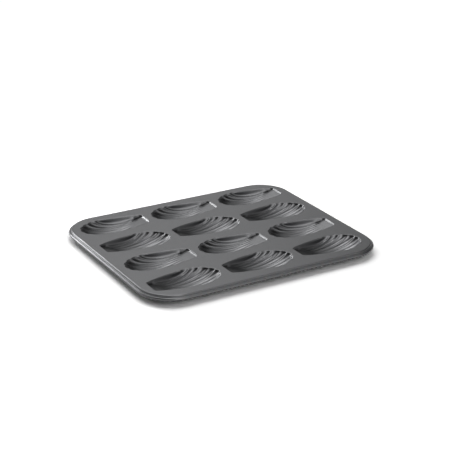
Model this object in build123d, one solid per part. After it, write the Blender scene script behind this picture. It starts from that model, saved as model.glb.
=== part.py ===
"""Madeleine pan with twelve fluted shell moulds, pressed from one coated steel sheet.

The plate is flat. Each mould is a low outline wall, a ledge at the hinge end, and a bowl whose
flutes fan out from the hinge to a scalloped rim. Round the pan the sheet folds down a short wall
and rolls outwards round a steel wire, which stiffens the edge. The moulds of one row point the
opposite way to those of the next, and the pan stands on the middle flutes of all twelve.

Everything is laid in narrow flats: the flutes from station to station along the bowl, and the
bends of the edge round their section and round the pan's corners.

Millimetres. Z is up, X runs along the long side, and the origin lies under the middle of the pan,
in the plane on which it stands.
"""
import os
from math import atan2, ceil, cos, degrees, hypot, radians, sin, sqrt

from build123d import *

os.makedirs("parts", exist_ok=True)

# Sheet, and the plate between its folds: end and side margins lie between the moulds and the fold
sheet = 0.7
end_margin = 11.25
side_margin = 12.15
corner_radius = 36.5
corner_turns = 8

# Edge of the sheet: fold, wall, groove, and the curl round the wire
fold_radius = 1.3
wall_drop = 2.1
groove_radius = 0.5
wire_diameter = 2.1
wire_clearance = 0.1
curl_turn = 300.0
widest_bend_step = 25.0

# The wire's ends meet in the front edge, and a crimp in the curl holds each of them
wire_joint_gap = 0.5
joint_offset = -2.3
crimp_spacing = 22.9
crimp_width = 1.2
crimp_depth = 0.35

# Moulds, and how they stand in rows
columns = 3
rows = 4
column_gap = 9.5
row_gap = 14.5
mould_length = 81.5
mould_width = 42.8
mould_depth = 11.4
ledge_depth = 1.8
wall_inset = 0.5

# Hinge end of a mould: its ledge slopes down towards the bowl
hinge_width = 22.4
hinge_corner = 2.8
ledge_length = 9.3
ledge_slope = 0.15
bowl_end_width = 27.8
bowl_end_bulge = 1.5

# Flutes, and the fan in which they open towards the rim
flutes = 9
flute_depth = 1.4
scallop_depth = 1.1
fan_length = 30.0
fan_angle = 25.6
fan_closing = 0.85

# The flutes' courses, as shares of their length, their width and the bowl's depth. The bowl is
# deepest, and level, between the two stations in its middle, and there the middle flute stands. The
# ledge's fall carries on into the bowl and dies out at the first of them. Each station has the share
# of a flute's width that its flat floor takes
station_shares = (0, 0.07, 0.2, 0.4, 0.6, 0.84, 1)
floor_shares = (0, 0, 0, 0.4, 0.4, 0, 0.4)
run_shares = (0, 0, 0.61, 0.87, 1)
fall_shares = (0, 0.97, 1.82, 0.97, 0)
ledge_fade = 0.4
side_fullness = 1.7
roundness_share = 0.85

# Worked out from the sizes above
column_pitch = mould_length + column_gap
row_pitch = mould_width + row_gap
pan_length = columns * column_pitch - column_gap + 2 * end_margin
pan_width = rows * row_pitch - row_gap + 2 * side_margin
half_length = mould_length / 2
half_width = mould_width / 2
bowl_depth = mould_depth - ledge_depth
plate_top = mould_depth + sheet
last_rib = flutes / 2
wire_radius = wire_diameter / 2
bead_radius = wire_radius + wire_clearance + sheet
bead = Vector(bead_radius - sheet, -wall_drop - bead_radius)


def quartic(values, share):
    """The value, at a share of its way, of a curve with five control values."""
    rest = 1 - share
    weights = (rest**4, 4 * rest**3 * share, 6 * (rest * share) ** 2, 4 * rest * share**3, share**4)
    return sum(weight * value for weight, value in zip(weights, values))


deepest_fall = max(quartic(fall_shares, share) for share in station_shares)


def polygon(points):
    """A flat face with these corners."""
    return Face(Wire.make_polygon(points))


def rim_point(place, out):
    """A point of the wide end's rim, at a place counted in flutes from the middle one."""
    angle = radians(fan_angle * place - fan_closing * place * abs(place))
    x = half_length - scallop_depth - fan_length + (fan_length + out) * cos(angle)
    return x, (half_width - scallop_depth + out) * sin(angle)


def course(place, share, is_flute):
    """A point of the bowl, a share of the way from the hinge to the rim.

    It lies in the bottom of a flute where is_flute is true, and otherwise on the rib between two
    flutes. The outermost ribs are the bowl's upper edges along its side walls. Z is negative.
    """
    across = place / last_rib
    hinge_x = -half_length + ledge_length - bowl_end_bulge * (1 - across**2)
    hinge_y = bowl_end_width / 2 * across
    rim_x, rim_y = rim_point(place, scallop_depth if is_flute else 0)
    run = rise = quartic(run_shares, share)
    ledge_fall = ledge_slope * (hinge_x + half_length) * max(0, 1 - share / ledge_fade) ** 2
    if abs(across) == 1:
        rise, fall = 1 - (1 - run) ** side_fullness, 0
    else:
        fall = quartic(fall_shares, share) / deepest_fall * bowl_depth
        rib = 0 if is_flute else flute_depth / bowl_depth
        fall *= sqrt(1 - (across * roundness_share) ** 2) - rib
    fall += ledge_fall
    return Vector(hinge_x + (rim_x - hinge_x) * run, hinge_y + (rim_y - hinge_y) * rise, -fall)


def bowl_row(share, floor_share):
    """The points across the bowl at a share of its length: the ribs, and the floors between them."""
    row = []
    for number in range(flutes):
        place = number - last_rib
        left = course(place, share, False)
        floor = course(place + 1 / 2, share, True)
        right = course(place + 1, share, False)
        half_floor = (right - left) * floor_share / 2
        half_floor.Z = 0
        row.append(left)
        if floor_share:
            row += [floor - half_floor, floor + half_floor]
        elif share:
            row.append(floor)
    return row + [right]


def hinge_tab(start):
    """The tab's outline beyond the bowl, from one side of the bowl round its end to the other."""
    corner = Vector(-half_length, -hinge_width / 2)
    before = corner + (Vector(start.X, start.Y) - corner).normalized() * hinge_corner
    after = corner + Vector(0, hinge_corner)
    middle = (before + after + corner * 2) / 4
    half = [before, middle, after]
    tab = half + [Vector(point.X, -point.Y) for point in reversed(half)]
    return [Vector(point.X, point.Y, -ledge_slope * (point.X + half_length)) for point in tab]


def web(upper, lower):
    """Flat triangles between two lines of points that run side by side, laid alike on both halves."""
    faces = []
    i = j = 0
    while i + j < len(upper) + len(lower) - 2:
        lead = (i + 1) * (len(lower) - 1) - (j + 1) * (len(upper) - 1)
        if lead < 0 or lead == 0 and 2 * i < len(upper) - 1:
            faces.append(polygon([upper[i], lower[j], upper[i + 1]]))
            i += 1
        else:
            faces.append(polygon([upper[i], lower[j], lower[j + 1]]))
            j += 1
    return faces


def mould_skin(growth, top):
    """A mould's upper or lower skin, with a lid on it where it meets the plate, as a solid.

    growth is how far the skin stands outside the upper one, and top is the level of its lid.
    """

    def placed(points, out, level):
        grow_x = 1 + out / half_length
        grow_y = 1 + out / half_width
        return [Vector(p.X * grow_x, p.Y * grow_y, level + p.Z) for p in points]

    bowl_rows = [bowl_row(*shares) for shares in zip(station_shares, floor_shares)]
    near_side = [row[0] for row in bowl_rows]
    far_side = [row[-1] for row in bowl_rows]
    tab = hinge_tab(near_side[0])
    outline = near_side[:-1] + bowl_rows[-1] + far_side[-2::-1] + tab[::-1] + near_side[:1]
    flat_outline = [Vector(point.X, point.Y) for point in outline]
    inset = growth - wall_inset
    ledge = top - ledge_depth
    laid = [placed(row, inset, ledge) for row in bowl_rows]
    faces = [face for a, b in zip(laid, laid[1:]) for face in web(a, b)]
    faces += web(placed(flat_outline, growth, top), placed(outline, inset, ledge))
    faces.append(polygon(laid[0] + placed(tab[::-1], inset, ledge)))
    faces.append(polygon(placed(flat_outline[:-1], growth, top)))
    return Solid(Shell(faces))


def placed_moulds(mould):
    """Copies of a mould in their rows, with the hinges of every other row on the other side."""
    copies = []
    for row in range(rows):
        turn = 180 if row % 2 == 0 else 0
        y = ((rows - 1) / 2 - row) * row_pitch
        for column in range(columns):
            x = (column - (columns - 1) / 2) * column_pitch
            copies.append(Pos(x, y, plate_top) * Rot(0, 0, turn) * mould)
    return copies


def bend(centre, radius, start, turn):
    """The points of a round bend in a section, from a start angle, laid in equal flats."""
    steps = ceil(abs(turn) / widest_bend_step)
    angles = [radians(start + turn * step / steps) for step in range(steps + 1)]
    return [centre + Vector(cos(angle), sin(angle)) * radius for angle in angles]


def edge_skin(depth):
    """The section of the sheet's edge: its outer face, or at a depth of one sheet its inner face.

    X is out from the fold, and Y is up from the plate's top. Each bend runs into the next.
    """
    lean = groove_radius - bead.X
    rise = sqrt((bead_radius + groove_radius) ** 2 - lean**2)
    touch_angle = degrees(atan2(rise, lean))
    fold = Vector(-fold_radius, -fold_radius)
    groove = Vector(groove_radius, bead.Y + rise)
    skin = bend(fold, fold_radius - depth, 90, -90)
    skin += bend(groove, groove_radius + depth, 180, touch_angle)[:-1]
    return skin + bend(bead, bead_radius - depth, touch_angle, -curl_turn)


def outline(point):
    """A point of a section carried round the pan: its place at each mitre between two runs."""
    turn = radians(90 / corner_turns)
    reach = (corner_radius + point.X) / cos(turn / 2)
    corners = []
    for quarter, (x, y) in enumerate([(1, -1), (1, 1), (-1, 1), (-1, -1)]):
        centre_x = x * (pan_length / 2 - corner_radius)
        centre_y = y * (pan_width / 2 - corner_radius)
        for number in range(corner_turns):
            angle = radians(90 * (quarter - 1)) + turn * (number + 1 / 2)
            corners.append(Vector(centre_x, centre_y, plate_top + point.Y))
            corners[-1] += Vector(cos(angle), sin(angle)) * reach
    return corners


def carried_round(section):
    """The flat faces that a section leaves behind it as it is carried round the pan."""
    loops = [outline(point) for point in section]
    faces = []
    for one, other in zip(loops, loops[1:]):
        for end in range(len(one)):
            start = end - 1
            faces.append(polygon([one[start], one[end], other[end], other[start]]))
    return faces


def crimps():
    """The two dents pressed into the curl beside the wire's joint."""
    axis = Axis((0, -pan_width / 2 - bead.X, plate_top + bead.Y), (1, 0, 0))
    dent = Polyline(
        (-crimp_width / 2, bead_radius),
        (0, bead_radius - crimp_depth),
        (crimp_width / 2, bead_radius),
        (0, bead_radius + crimp_depth),
        close=True,
    )
    dents = []
    for side in (-1, 1):
        place = axis.position + Vector(joint_offset + side * crimp_spacing / 2, 0)
        section = Plane(place, x_dir=(1, 0, 0), z_dir=(0, -1, 0)) * make_face(dent)
        dents.append(revolve(section, axis, 180))
    return dents


def pan_sheet():
    """The one pressed sheet: plate, twelve moulds, wall and curl."""
    section = edge_skin(0) + edge_skin(sheet)[::-1]
    plate = [polygon(outline(section[0])), polygon(outline(section[-1]))]
    body = Solid(Shell(carried_round(section) + plate))
    skin_growth = sheet * (hypot(wall_inset, ledge_depth) - wall_inset) / ledge_depth
    body = body.fuse(*placed_moulds(mould_skin(skin_growth, -sheet)))
    return body.cut(*placed_moulds(mould_skin(0, 0)), *crimps())


def rim_wire():
    """The steel wire in the curl, bent to the pan's outline, with its ends all but meeting."""
    wire = Solid(Shell(carried_round(bend(bead, wire_radius, 0, 360))))
    joint = Pos(joint_offset, -pan_width / 2 - bead.X, plate_top + bead.Y)
    return wire - joint * Box(wire_joint_gap, 2 * wire_diameter, 2 * wire_diameter)


for name, piece in {"pan_sheet": pan_sheet(), "rim_wire": rim_wire()}.items():
    export_step(piece, f"parts/{name}.step")
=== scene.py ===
"""Looks of a madeleine pan: twelve fluted shell moulds pressed in one coated steel sheet.

The sheet's upper face is laid out by formula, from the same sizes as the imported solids: the moulds,
the plate between them, and the edge that folds down and curls round a wire. A Solidify modifier then
gives it its thickness. Sizes are in millimetres until a mesh is made, which is in metres.

In the plan of a mould, its hinge lies towards -X and its wide rim towards +X. A place across it is
counted in flutes from the middle one, and a share runs along it from the hinge to the rim.
"""
import math

import bmesh
import bpy
import numpy as np
from mathutils import Matrix, Vector, geometry


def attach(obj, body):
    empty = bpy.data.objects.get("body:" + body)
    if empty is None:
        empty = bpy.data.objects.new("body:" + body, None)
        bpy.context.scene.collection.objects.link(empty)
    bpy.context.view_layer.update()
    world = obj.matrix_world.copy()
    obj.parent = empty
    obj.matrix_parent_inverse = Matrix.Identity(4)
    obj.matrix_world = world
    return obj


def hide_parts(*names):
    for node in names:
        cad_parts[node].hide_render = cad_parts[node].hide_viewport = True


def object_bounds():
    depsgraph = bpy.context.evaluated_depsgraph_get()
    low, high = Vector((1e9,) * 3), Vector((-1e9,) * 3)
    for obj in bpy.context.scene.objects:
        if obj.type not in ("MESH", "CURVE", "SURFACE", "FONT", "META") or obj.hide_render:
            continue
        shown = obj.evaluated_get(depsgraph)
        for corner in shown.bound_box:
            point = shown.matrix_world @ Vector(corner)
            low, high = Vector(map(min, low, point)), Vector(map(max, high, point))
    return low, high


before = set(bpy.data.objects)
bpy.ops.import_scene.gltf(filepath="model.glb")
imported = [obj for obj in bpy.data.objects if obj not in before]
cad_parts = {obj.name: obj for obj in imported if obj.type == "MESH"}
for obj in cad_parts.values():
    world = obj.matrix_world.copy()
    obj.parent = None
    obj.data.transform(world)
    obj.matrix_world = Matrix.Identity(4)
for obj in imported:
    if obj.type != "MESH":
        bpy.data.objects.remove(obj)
cad_low, cad_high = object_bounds()
mm = 0.001

# Sheet and plate
sheet = 0.7
column_pitch = 91.0
row_pitch = 57.3
columns = 3
rows = 4
pan_length = 286.0
pan_width = 239.0
corner_radius = 36.5

# Edge: fold, wall, groove, and the curl round the wire, trimmed to stay inside the solid's curl
fold_radius = 1.3
wall_drop = 2.1
groove_radius = 0.5
wire_radius = 1.05
wire_clearance = 0.1
curl_trim = 0.05
curl_turn = 300.0

# The two crimps beside the wire's joint in the front edge
joint_offset = -2.3
crimp_spacing = 22.9
crimp_width = 2.2
crimp_depth = 0.5

# Mould: its outline, wall and lip, and the ledge at its hinge end, which slopes down to the bowl
half_length = 40.75
half_width = 21.4
mould_depth = 11.4
wall_inset = 0.5
lip_radius = 0.6
hinge_width = 22.4
hinge_corner = 2.8
ledge_depth = 1.8
ledge_length = 9.3
ledge_slope = 0.32

# Bowl: its courses from the hinge to the rim, as shares of their length and of the bowl's depth. The
# ledge's slope fades over a share of the bowl's run, and so does the easing of its depth
bowl_end_width = 27.8
bowl_end_bulge = 1.5
run_shares = (0, 0, 0.61, 0.87, 1)
fall_shares = (0, 0.97, 1.82, 0.97, 0)
ledge_fade_share = 0.5
hinge_ease = 0.35
hinge_ease_share = 0.5
side_fullness = 1.7
side_steepness = 14.0
roundness_share = 0.9

# Flutes, the fan in which they open, and the ribs between them: a rib starts at a share of its height,
# is full grown at a share of its way, and rises over the last stretch to the rim
flutes = 9
flute_depth = 1.4
scallop_depth = 1.1
fan_length = 30.0
fan_angle = 25.6
fan_closing = 0.85
rib_start_share = 0.2
rib_grown_share = 0.5
rib_rise = 1.1
rib_rise_share = 0.55

# How finely the surfaces are laid
flute_steps = 8
course_steps = 30
hinge_corner_steps = 8
ledge_row_shares = (0.12, 0.88, 1.0)
lip_steps = 3
collar_width = 0.5
evening_reach = 1.2
bend_step = 15.0
corner_steps = 14
plate_strip = 1.0
crimp_steps = 10
crimp_margin_share = 1.3
fill_precision = 1e-5

# Worked out from the sizes above
bowl_depth = mould_depth - ledge_depth
plate_top = cad_high.z / mm
last_rib = flutes / 2
bead_radius = wire_radius + wire_clearance + sheet - curl_trim
bead_out = wire_radius + wire_clearance
bead_level = -wall_drop - bead_out - sheet

# Camera, fitted to a square photograph. Azimuth 0 is behind the pan, and grows to the right, for the
# camera and the lamps alike
camera_azimuth = 210.13
camera_elevation = 22.39
camera_distance = 1.4786
camera_roll = 0.12
focal_pixels = 1301.64
frame_pixels = 450
centre_pixels = (-5.47, 9.40)
sensor_width = 36.0

# Far lamps: azimuth, elevation, spread and strength
far_lamps = {
    "sheen_lamp": (30, 22, 18, 0.044),
    "back_lamp": (20, 38, 24, 0.15),
    "high_back_lamp": (20, 56, 30, 0.19),
    "top_lamp": (30, 75, 30, 0.6),
    "left_back_lamp": (0, 38, 24, 0.05),
    "low_left_lamp": (-15, 22, 18, 0.19),
    "upper_left_lamp": (-20, 56, 30, 0.38),
    "upper_right_lamp": (50, 50, 26, 0.14),
    "right_lamp": (100, 56, 30, 0.105),
    "front_right_lamp": (150, 25, 30, 0.225),
    "front_lamp": (180, 25, 30, 0.36),
    "high_front_lamp": (180, 50, 30, 0.43),
}
far_lamp_distance = 2.0

# Near lamps: azimuth, elevation, distance, size and power
near_lamps = {
    "low_softbox": (-31, 14, 0.8, 0.12, 1.2),
    "high_softbox": (-22, 31, 0.8, 0.12, 0.8),
}

# White world and floor. Metal sees the world only near the horizon, up to where it has faded, and the
# floor carries a painted contact shadow: its colour darkens within reach of what stands on it, down to a
# share of its colour
ambient = 0.016
world_seen = 1.0
world_mirrored = 0.4
world_fades = 8.0
world_ends = 20.0
floor_size = 6.0
floor_colour = 0.8
floor_seen = 1.6
floor_mirrored = 1.1
painted_shadow_reach = 0.011
painted_shadow_share = -0.1
painted_shadow_samples = 16


def deselect_all():
    """Leave nothing selected and nothing in edit mode."""
    if bpy.context.object and bpy.context.object.mode != "OBJECT":
        bpy.ops.object.mode_set(mode="OBJECT")
    bpy.ops.object.select_all(action="DESELECT")


def make_active(piece):
    """Select one object alone."""
    deselect_all()
    piece.select_set(True)
    bpy.context.view_layer.objects.active = piece


# Bowl of a mould


def quartic(values, share):
    """The value, at a share of its way, of a curve with five control values."""
    rest = 1 - share
    weights = (rest**4, 4 * rest**3 * share, 6 * (rest * share) ** 2, 4 * rest * share**3, share**4)
    return sum(weight * value for weight, value in zip(weights, values))


def rim_point(place, out):
    """A point of the wide end's rim, moved outwards."""
    angle = np.radians(fan_angle * place - fan_closing * place * np.abs(place))
    x = half_length - scallop_depth - fan_length + (fan_length + out) * np.cos(angle)
    return x, (half_width - scallop_depth + out) * np.sin(angle)


def ledge_fall(x):
    """How far the ledge has sloped down from the hinge end to this place."""
    return ledge_slope * (x + half_length)


def eased(run):
    """How much of its depth the bowl has near the hinge, so that it slopes down from the ledge."""
    left = hinge_ease * max(0, 1 - run / hinge_ease_share) ** 2
    return math.sqrt(run / (run + left)) if run else 0


def rib_height(share):
    """How high the ribs stand above the flutes, which grows from the hinge on."""
    grown = np.clip(share / rib_grown_share, 0, 1)
    return flute_depth * (rib_start_share + (1 - rib_start_share) * grown**2 * (3 - 2 * grown))


def bowl_points(places, share):
    """The points across the bowl at a share of its length, at these places."""
    across = places / last_rib
    beside = 2 * (places + last_rib - np.floor(places + last_rib)) - 1
    hollow = np.where(np.abs(across) >= 1, 0, 1 - beside**2)
    hinge_x = -half_length + ledge_length - bowl_end_bulge * (1 - across**2)
    hinge_y = bowl_end_width / 2 * across
    rim_x, rim_y = rim_point(places, scallop_depth * hollow)
    run = quartic(run_shares, share)
    side = np.abs(across) ** side_steepness
    rise = (1 - side) * run + side * (1 - (1 - run) ** side_fullness)
    depth = bowl_depth * np.sqrt(1 - (across * roundness_share) ** 2) - rib_height(share) * (1 - hollow)
    fall = quartic(fall_shares, share) / quartic(fall_shares, 0.5) * eased(run)
    fall = fall * depth * np.sqrt(np.maximum(0, 1 - side))
    fall = fall + ledge_fall(hinge_x) * max(0, 1 - run / ledge_fade_share) ** 2
    near_rim = np.clip((share - rib_rise_share) / (1 - rib_rise_share), 0, 1)
    fall = fall - rib_rise * (1 - hollow) * near_rim**2
    x = hinge_x + (rim_x - hinge_x) * run
    y = hinge_y + (rim_y - hinge_y) * rise
    return np.stack([x, y, -ledge_depth - fall], -1)


def lay_bowl(bowl):
    """The bowl's points, row after row from the hinge to the rim, and the faces between them."""
    count = len(bowl[0])
    points = [tuple(point) for row in bowl for point in row]
    faces = []
    for i in range(len(bowl) - 1):
        for j in range(count - 1):
            start = i * count + j
            faces.append((start, start + count, start + count + 1, start + 1))
    return points, faces


# Ledge and wall of a mould


def tab_outline(start, steps):
    """The outline of the hinge end, from one side of the bowl round to the other, in equal steps."""
    corner = np.array([-half_length + wall_inset, -hinge_width / 2 + wall_inset / 2])
    along = (corner - start) / np.linalg.norm(corner - start)
    before = corner - along * hinge_corner
    after = corner + np.array([0, hinge_corner])
    turn = [
        (1 - share) ** 2 * before + 2 * share * (1 - share) * corner + share**2 * after
        for share in np.linspace(0, 1, hinge_corner_steps + 1)
    ]
    half = np.array([start, *turn, [corner[0], 0]])
    line = np.concatenate([half, (half * [1, -1])[-2::-1]])
    reach = np.concatenate([[0], np.cumsum(np.linalg.norm(np.diff(line, axis=0), axis=1))])
    wanted = np.linspace(0, reach[-1], steps + 1)
    return np.stack([np.interp(wanted, reach, line[:, 0]), np.interp(wanted, reach, line[:, 1])], -1)


def lay_ledge(points, faces, bowl_end):
    """Add the ledge, from the bowl's hinge end out to the tab's outline, and give its outer row."""
    last = len(bowl_end) - 1
    tab = tab_outline(bowl_end[0, :2], last)
    inner = list(range(last + 1))
    for share in ledge_row_shares:
        outer = [0]
        for j in range(1, last):
            x, y = bowl_end[j, :2] * (1 - share) + tab[j] * share
            outer.append(len(points))
            points.append((x, y, -ledge_depth - ledge_fall(x)))
        outer.append(last)
        for j in range(last):
            corners = [inner[j], inner[j + 1], outer[j + 1], outer[j]]
            faces.append(tuple(corner for n, corner in enumerate(corners) if corner not in corners[:n]))
        inner = outer
    return outer


def wall_section():
    """The wall from the ledge up to the plate, as steps outwards and levels, with a rounded lip."""
    turn = math.pi / 2 - math.atan2(wall_inset, ledge_depth)
    set_back = lip_radius * math.tan(turn / 2)
    section = []
    for step in range(lip_steps + 1):
        angle = turn * (1 - step / lip_steps)
        section.append((set_back - lip_radius * math.sin(angle), -lip_radius * (1 - math.cos(angle))))
    return section + [(set_back + collar_width, 0)]


def directions(line):
    """The way outwards at each point of a closed line, evened out over the stretch beside it."""
    along = np.roll(line, -1, axis=0) - line
    length = np.linalg.norm(along, axis=1)
    reach = np.concatenate([[0], np.cumsum(length)])
    middle = (reach[:-1] + reach[1:]) / 2
    apart = np.abs(reach[:-1, None] - middle[None, :])
    apart = np.minimum(apart, reach[-1] - apart)
    weight = np.exp(-((apart / evening_reach) ** 2))
    outward = weight @ np.stack([along[:, 1], -along[:, 0]], -1)
    return outward / np.linalg.norm(outward, axis=1)[:, None]


def raise_wall(points, faces, outline):
    """Add the wall and lip round a mould, and a flat collar beyond them, and give its outer loop."""
    flat = np.array([points[n][:2] for n in outline])
    outward = directions(flat)
    loop = outline
    for out, level in wall_section():
        fresh = list(range(len(points), len(points) + len(flat)))
        points += [(x, y, level) for x, y in flat + outward * (out + wall_inset)]
        for j in range(len(loop)):
            faces.append((loop[j - 1], fresh[j - 1], fresh[j], loop[j]))
        loop = fresh
    return loop


def mould_mesh():
    """The upper face of one mould, as its points, its faces and the loop round its flat collar."""
    places = np.linspace(-last_rib, last_rib, flutes * flute_steps + 1)
    bowl = np.array([bowl_points(places, share) for share in np.linspace(0, 1, course_steps + 1)])
    points, faces = lay_bowl(bowl)
    tab_edge = lay_ledge(points, faces, bowl[0])
    count = len(places)
    near_side = [i * count for i in range(course_steps)]
    rim = [course_steps * count + j for j in range(count)]
    far_side = [i * count + count - 1 for i in range(course_steps - 1, -1, -1)]
    loop = raise_wall(points, faces, near_side + rim + far_side + tab_edge[-2:0:-1])
    return points, faces, loop


# Edge of the sheet


def bend(centre, radius, start, turn):
    """Points of a round bend in the edge's section, from a start angle in degrees."""
    steps = math.ceil(abs(turn) / bend_step)
    angles = [math.radians(start + turn * step / steps) for step in range(steps + 1)]
    return [(centre[0] + radius * math.cos(a), centre[1] + radius * math.sin(a)) for a in angles]


def edge_section():
    """The outer face of the edge: how far out from the fold, the level, and 1 on the bead or 0."""
    lean = groove_radius - bead_out
    rise = math.sqrt((bead_radius + groove_radius) ** 2 - lean**2)
    touch_angle = math.degrees(math.atan2(rise, lean))
    section = [(-fold_radius - plate_strip, 0)]
    section += bend((-fold_radius, -fold_radius), fold_radius, 90, -90)
    section += bend((groove_radius, bead_level + rise), groove_radius, 180, touch_angle)[:-1]
    curl = bend((bead_out, bead_level), bead_radius, touch_angle, -curl_turn)
    return [(out, level, 0) for out, level in section] + [(out, level, 1) for out, level in curl]


def crimp_stations():
    """The places along the front edge where the crimps have points, and how far each is pressed in."""
    stations = []
    for side in (-1, 1):
        for step in (-crimp_margin_share, *np.linspace(-1, 1, crimp_steps + 1), crimp_margin_share):
            place = joint_offset + side * crimp_spacing / 2 + step * crimp_width / 2
            stations.append((place, (1 + math.cos(math.pi * min(1, abs(step)))) / 2))
    return stations


def edge_ring(out, level, on_bead):
    """A point of the edge's section carried round the pan, anticlockwise.

    Where the point is on the bead, the crimps press it in towards the wire.
    """
    ring = []
    for quarter, (x, y) in enumerate([(1, -1), (1, 1), (-1, 1), (-1, -1)]):
        centre_x = x * (pan_length / 2 - corner_radius)
        centre_y = y * (pan_width / 2 - corner_radius)
        for step in range(corner_steps + 1):
            angle = math.radians(90 * (quarter - 1 + step / corner_steps))
            reach = corner_radius + out
            ring.append((centre_x + reach * math.cos(angle), centre_y + reach * math.sin(angle), level))
    for place, pressed in crimp_stations():
        press = on_bead * crimp_depth * pressed / bead_radius
        pressed_out = out + (bead_out - out) * press
        pressed_level = level + (bead_level - level) * press
        ring.append((place, -pan_width / 2 - pressed_out, pressed_level))
    return ring


# Whole sheet


def lay_point(mesh, x, y, level):
    """A new point of the mesh, from millimetres, with its level counted from the plate's top."""
    return mesh.verts.new((x * mm, y * mm, (plate_top + level) * mm))


def lay_moulds(mesh):
    """Lay the twelve moulds, with every other row turned round, and give the loops round them."""
    points, faces, loop = mould_mesh()
    loops = []
    for row in range(rows):
        turn = -1 if row % 2 == 0 else 1
        mould_y = ((rows - 1) / 2 - row) * row_pitch
        for column in range(columns):
            mould_x = (column - (columns - 1) / 2) * column_pitch
            laid = [lay_point(mesh, mould_x + turn * x, mould_y + turn * y, level) for x, y, level in points]
            for face in faces:
                mesh.faces.new([laid[n] for n in face])
            loops.append([laid[n] for n in loop])
    return loops


def lay_edge(mesh):
    """Lay the pan's edge, and give its innermost loop, on the plate."""
    rings = [[lay_point(mesh, *place) for place in edge_ring(*point)] for point in edge_section()]
    for inner, outer in zip(rings, rings[1:]):
        for n in range(len(inner)):
            mesh.faces.new((inner[n - 1], outer[n - 1], outer[n], inner[n]))
    return rings[0]


def fill_plate(mesh, mould_loops, edge_loop):
    """Fill the flat plate between the edge and the moulds with triangles."""
    corners = []
    regions = []
    for loop in (*mould_loops, edge_loop):
        regions.append(list(range(len(corners), len(corners) + len(loop))))
        corners += loop
    places = [vertex.co.xy / mm for vertex in corners]
    inside_only = 1
    filled = geometry.delaunay_2d_cdt(places, [], regions, inside_only, fill_precision)
    _, _, triangles, sources, _, triangle_regions = filled
    plate_region = len(mould_loops)
    for triangle, inside in zip(triangles, triangle_regions):
        if inside == [plate_region]:
            mesh.faces.new([corners[sources[n][0]] for n in triangle])


def new_piece(name, mesh):
    """An object in the scene from a finished bmesh."""
    data = bpy.data.meshes.new(name)
    mesh.to_mesh(data)
    mesh.free()
    piece = bpy.data.objects.new(name, data)
    bpy.context.scene.collection.objects.link(piece)
    return piece


def make_sheet():
    """The pressed sheet: moulds, edge and plate in one, shaded smooth and given its thickness."""
    mesh = bmesh.new()
    mould_loops = lay_moulds(mesh)
    edge_loop = lay_edge(mesh)
    fill_plate(mesh, mould_loops, edge_loop)
    piece = new_piece("pressed_sheet", mesh)
    make_active(piece)
    bpy.ops.object.shade_smooth()
    thick = piece.modifiers.new("thickness", "SOLIDIFY")
    thick.thickness = sheet * mm
    thick.offset = -1
    bpy.ops.object.modifier_apply(modifier=thick.name)
    return piece


# Nodes of the materials


def feed(links, source, socket):
    """Give a socket its source: another node's output, or a constant."""
    if isinstance(source, bpy.types.NodeSocket):
        links.new(source, socket)
    else:
        socket.default_value = source


def math_node(nodes, links, operation, *sources):
    """The result of a sum, whose sources are constants or other nodes' outputs."""
    node = nodes.new("ShaderNodeMath")
    node.operation = operation
    for source, socket in zip(sources, node.inputs):
        feed(links, source, socket)
    return node.outputs["Value"]


def ranged(nodes, links, source, low, high, start=0.3, end=0.7):
    """A value that goes from low to high as its source goes from start to end, as noise usually does."""
    node = nodes.new("ShaderNodeMapRange")
    labels = ("Value", "From Min", "From Max", "To Min", "To Max")
    for label, value in zip(labels, (source, start, end, low, high)):
        feed(links, value, node.inputs[label])
    return node.outputs["Result"]


def mixed_colour(nodes, links, share, first, second):
    """A colour between two, by a share."""
    node = nodes.new("ShaderNodeMix")
    node.data_type = "RGBA"
    colour_a, colour_b = [socket for socket in node.inputs if socket.type == "RGBA"]
    feed(links, share, node.inputs["Factor"])
    feed(links, first, colour_a)
    feed(links, second, colour_b)
    return next(socket for socket in node.outputs if socket.type == "RGBA")


def bumped(nodes, links, height, strength, distance):
    """A normal with a fine relief, whose distance is in millimetres."""
    node = nodes.new("ShaderNodeBump")
    node.inputs["Strength"].default_value = strength
    node.inputs["Distance"].default_value = distance * mm
    links.new(height, node.inputs["Height"])
    return node.outputs["Normal"]


def node_group(name, inputs, outputs):
    """A shader node group with named value inputs and outputs, and its two end nodes."""
    group = bpy.data.node_groups.new(name, "ShaderNodeTree")
    for label, value in inputs.items():
        socket = group.interface.new_socket(label, in_out="INPUT", socket_type="NodeSocketFloat")
        socket.default_value = value
    for label in outputs:
        group.interface.new_socket(label, in_out="OUTPUT", socket_type="NodeSocketFloat")
    return group, group.nodes.new("NodeGroupInput"), group.nodes.new("NodeGroupOutput")


def noise(nodes, links, scale, detail):
    """Noise over the piece's own space."""
    place = nodes.new("ShaderNodeTexCoord")
    node = nodes.new("ShaderNodeTexNoise")
    node.inputs["Detail"].default_value = detail
    links.new(place.outputs["Object"], node.inputs["Vector"])
    links.new(scale, node.inputs["Scale"])
    return node.outputs["Fac"]


def fine_grain_group():
    """Mottling at two sizes: Fine for grain and bump, Broad for slow changes over the surface."""
    inputs = {"Fine Scale": 3000, "Broad Scale": 40}
    group, given, result = node_group("fine_grain", inputs, ["Fine", "Broad"])
    for label, detail in (("Fine", 2.0), ("Broad", 4.0)):
        mottling = noise(group.nodes, group.links, given.outputs[label + " Scale"], detail)
        group.links.new(mottling, result.inputs[label])
    return group


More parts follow.
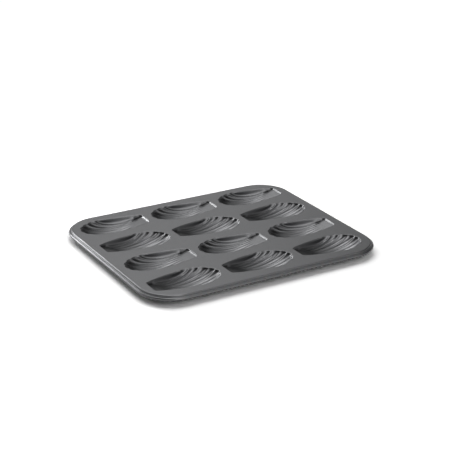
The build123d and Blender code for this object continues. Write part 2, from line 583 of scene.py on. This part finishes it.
def edge_wear_group():
    """A mask of the worn crests: 1 on sharp outward edges, broken up by noise, and 0 elsewhere."""
    inputs = {"Start": 0.52, "Full": 0.6, "Break Scale": 300}
    group, given, result = node_group("edge_wear", inputs, ["Mask"])
    nodes, links = group.nodes, group.links
    pointed = nodes.new("ShaderNodeNewGeometry").outputs["Pointiness"]
    crest = ranged(nodes, links, pointed, 0, 1, given.outputs["Start"], given.outputs["Full"])
    breaks = noise(nodes, links, given.outputs["Break Scale"], detail=2.0)
    links.new(math_node(nodes, links, "MULTIPLY", crest, breaks), result.inputs["Mask"])
    return group


def placed_group(nodes, group, values):
    """A node group in a material, with its own values."""
    node = nodes.new("ShaderNodeGroup")
    node.node_tree = group
    for label, value in values.items():
        node.inputs[label].default_value = value
    return node


# Finishes of the pan


def new_material(name):
    """A material with its nodes, links and shader."""
    material = bpy.data.materials.new(name)
    material.use_nodes = True
    nodes = material.node_tree.nodes
    return material, nodes, material.node_tree.links, nodes["Principled BSDF"]


def coating(fine_grain, edge_wear):
    """Dark grey satin non-stick coating: sprayed grain, slow mottling, and a rub on its crests."""
    dark = (0.155, 0.157, 0.162, 1)
    light = (0.19, 0.191, 0.196, 1)
    rubbed = (0.27, 0.27, 0.272, 1)
    material, nodes, links, shader = new_material("non_stick_coating")
    grain = placed_group(nodes, fine_grain, {"Fine Scale": 2600, "Broad Scale": 35})
    wear = placed_group(nodes, edge_wear, {"Start": 0.52, "Full": 0.62, "Break Scale": 260})
    fleck = ranged(nodes, links, grain.outputs["Fine"], low=0, high=1)
    colour = mixed_colour(nodes, links, fleck, dark, light)
    colour = mixed_colour(nodes, links, wear.outputs["Mask"], colour, rubbed)
    roughness = ranged(nodes, links, grain.outputs["Broad"], low=0.3, high=0.35)
    normal = bumped(nodes, links, grain.outputs["Fine"], strength=0.25, distance=0.03)
    links.new(colour, shader.inputs["Base Color"])
    links.new(roughness, shader.inputs["Roughness"])
    links.new(normal, shader.inputs["Normal"])
    shader.inputs["Metallic"].default_value = 1
    return material


def wire_steel(fine_grain, edge_wear):
    """Plain drawn steel wire, dulled by the oven."""
    dull = (0.42, 0.415, 0.41, 1)
    bright = (0.54, 0.54, 0.545, 1)
    rubbed = (0.62, 0.62, 0.62, 1)
    material, nodes, links, shader = new_material("wire_steel")
    grain = placed_group(nodes, fine_grain, {"Fine Scale": 1800, "Broad Scale": 90})
    wear = placed_group(nodes, edge_wear, {"Start": 0.53, "Full": 0.65, "Break Scale": 400})
    tint = ranged(nodes, links, grain.outputs["Broad"], low=0, high=1)
    colour = mixed_colour(nodes, links, tint, dull, bright)
    colour = mixed_colour(nodes, links, wear.outputs["Mask"], colour, rubbed)
    roughness = ranged(nodes, links, grain.outputs["Fine"], low=0.3, high=0.42)
    normal = bumped(nodes, links, grain.outputs["Fine"], strength=0.2, distance=0.02)
    links.new(colour, shader.inputs["Base Color"])
    links.new(roughness, shader.inputs["Roughness"])
    links.new(normal, shader.inputs["Normal"])
    shader.inputs["Metallic"].default_value = 1
    return material


def finish_wire(material):
    """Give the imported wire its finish."""
    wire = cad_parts["rim_wire"]
    wire.data.materials.clear()
    wire.data.materials.append(material)


# Camera and studio


def toward(azimuth, elevation):
    """The direction from the pan towards a place round it, from angles in degrees."""
    azimuth, elevation = math.radians(azimuth), math.radians(elevation)
    flat = math.cos(elevation)
    return Vector((math.sin(azimuth) * flat, math.cos(azimuth) * flat, math.sin(elevation)))


def make_camera():
    """The camera at the photograph's viewing angle."""
    back = toward(camera_azimuth, camera_elevation)
    right = Vector((0, 0, 1)).cross(back).normalized()
    up = back.cross(right)
    per_pixel = camera_distance / focal_pixels
    place = Vector((0, 0, plate_top * mm)) + back * camera_distance
    place += -right * centre_pixels[0] * per_pixel + up * centre_pixels[1] * per_pixel
    turn = Matrix((right, up, back)).transposed().to_4x4()
    roll = Matrix.Rotation(math.radians(camera_roll), 4, "Z")
    data = bpy.data.cameras.new("camera")
    data.sensor_width = sensor_width
    data.lens = sensor_width * focal_pixels / frame_pixels
    camera = bpy.data.objects.new("camera", data)
    camera.matrix_world = Matrix.Translation(place) @ turn @ roll
    bpy.context.scene.collection.objects.link(camera)
    bpy.context.scene.camera = camera


def add_lamp(data, azimuth, elevation, distance):
    """A lamp that faces the pan."""
    direction = toward(azimuth, elevation)
    lamp = bpy.data.objects.new(data.name, data)
    lamp.location = direction * distance
    lamp.rotation_euler = direction.to_track_quat("Z", "Y").to_euler()
    bpy.context.scene.collection.objects.link(lamp)


def far_lamp(name, azimuth, elevation, spread, strength):
    """A wide soft light from far off, which lights the floor evenly."""
    data = bpy.data.lights.new(name, "SUN")
    data.angle = math.radians(spread)
    data.energy = strength
    add_lamp(data, azimuth, elevation, far_lamp_distance)


def near_lamp(name, azimuth, elevation, distance, size, power):
    """A square softbox near the pan, whose reflection changes from one mould to the next."""
    data = bpy.data.lights.new(name, "AREA")
    data.size = size
    data.energy = power
    add_lamp(data, azimuth, elevation, distance)


def with_ray(nodes, links, value, ray, more):
    """A value, with more added to it for one kind of ray."""
    path = nodes.new("ShaderNodeLightPath")
    return math_node(nodes, links, "MULTIPLY_ADD", path.outputs[ray], more, value)


def white_world():
    """A world that is white to the camera, dimmer and only near the horizon to metal, and else dark."""
    world = bpy.context.scene.world or bpy.data.worlds.new("studio")
    bpy.context.scene.world = world
    world.use_nodes = True
    nodes, links = world.node_tree.nodes, world.node_tree.links
    nodes.clear()
    background = nodes.new("ShaderNodeBackground")
    background.inputs["Color"].default_value = (1, 1, 1, 1)
    direction = nodes.new("ShaderNodeTexCoord")
    parts = nodes.new("ShaderNodeSeparateXYZ")
    links.new(direction.outputs["Generated"], parts.inputs["Vector"])
    fades, ends = (math.sin(math.radians(elevation)) for elevation in (world_fades, world_ends))
    mirrored = ranged(nodes, links, parts.outputs["Z"], world_mirrored, 0, fades, ends)
    strength = with_ray(nodes, links, ambient, "Is Camera Ray", world_seen - ambient)
    strength = with_ray(nodes, links, strength, "Is Glossy Ray", mirrored)
    links.new(strength, background.inputs["Strength"])
    output = nodes.new("ShaderNodeOutputWorld")
    links.new(background.outputs["Background"], output.inputs["Surface"])


def floor_paint():
    """White paint that camera and metal see brighter, with a painted contact shadow that darkens it close
    under the pan.
    """
    material = bpy.data.materials.new("white_floor")
    material.use_nodes = True
    nodes, links = material.node_tree.nodes, material.node_tree.links
    nodes.clear()
    colour = with_ray(nodes, links, floor_colour, "Is Camera Ray", floor_seen - floor_colour)
    colour = with_ray(nodes, links, colour, "Is Glossy Ray", floor_mirrored - floor_colour)
    # Painted shade: ambient occlusion darkens the floor's colour close under the pan, as a contact shadow
    painted_shadow = nodes.new("ShaderNodeAmbientOcclusion")
    painted_shadow.samples = painted_shadow_samples
    painted_shadow.inputs["Distance"].default_value = painted_shadow_reach
    kept = ranged(nodes, links, painted_shadow.outputs["AO"], low=painted_shadow_share, high=1, start=0, end=1)
    diffuse = nodes.new("ShaderNodeBsdfDiffuse")
    links.new(math_node(nodes, links, "MULTIPLY", colour, kept), diffuse.inputs["Color"])
    output = nodes.new("ShaderNodeOutputMaterial")
    links.new(diffuse.outputs["BSDF"], output.inputs["Surface"])
    return material


def white_floor():
    """The floor that the pan stands on."""
    deselect_all()
    bpy.ops.mesh.primitive_plane_add(size=floor_size, location=(0, 0, 0))
    floor = bpy.context.object
    floor.name = "floor"
    floor.data.materials.append(floor_paint())


# Pan
fine_grain = fine_grain_group()
edge_wear = edge_wear_group()
sheet_piece = make_sheet()
sheet_piece.data.materials.append(coating(fine_grain, edge_wear))
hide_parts("pan_sheet")
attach(sheet_piece, "root")
finish_wire(wire_steel(fine_grain, edge_wear))

# Studio
make_camera()
white_world()
white_floor()
for name, values in far_lamps.items():
    far_lamp(name, *values)
for name, values in near_lamps.items():
    near_lamp(name, *values)
bpy.context.scene.view_settings.view_transform = "Standard"
